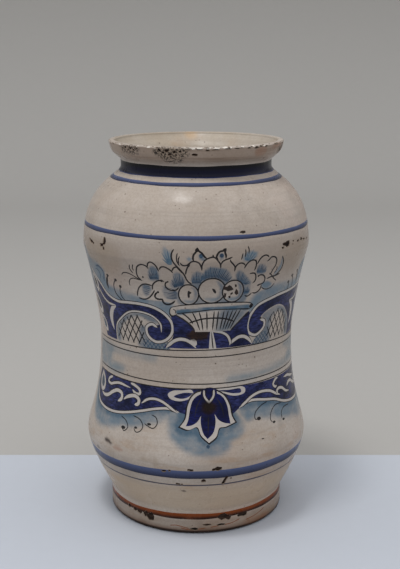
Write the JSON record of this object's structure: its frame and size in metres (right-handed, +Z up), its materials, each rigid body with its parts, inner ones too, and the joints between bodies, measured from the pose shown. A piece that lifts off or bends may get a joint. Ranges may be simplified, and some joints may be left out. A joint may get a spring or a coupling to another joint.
{
  "type": "albarello",
  "caption": "Waisted ceramic drug jar with a flared rim, grooved neck and foot ring, white glaze painted in blue, flaked at its edges.",
  "frame": {"origin": "centre of the foot, on the surface that the jar stands on", "axes": "+Z up along the jar's turning axis, -Y towards the pictured painted side"},
  "size_m": [0.161, 0.161, 0.27],
  "materials": {
    "earthenware": "matte, stained",
    "painted_glaze": "satin gloss, blue brushwork",
    "lining_glaze": "satin gloss, plain"
  },
  "bodies": {
    "root": {"earthenware_body": "earthenware", "outer_glaze": "painted_glaze", "inner_glaze": "lining_glaze"}
  },
  "joints": []
}
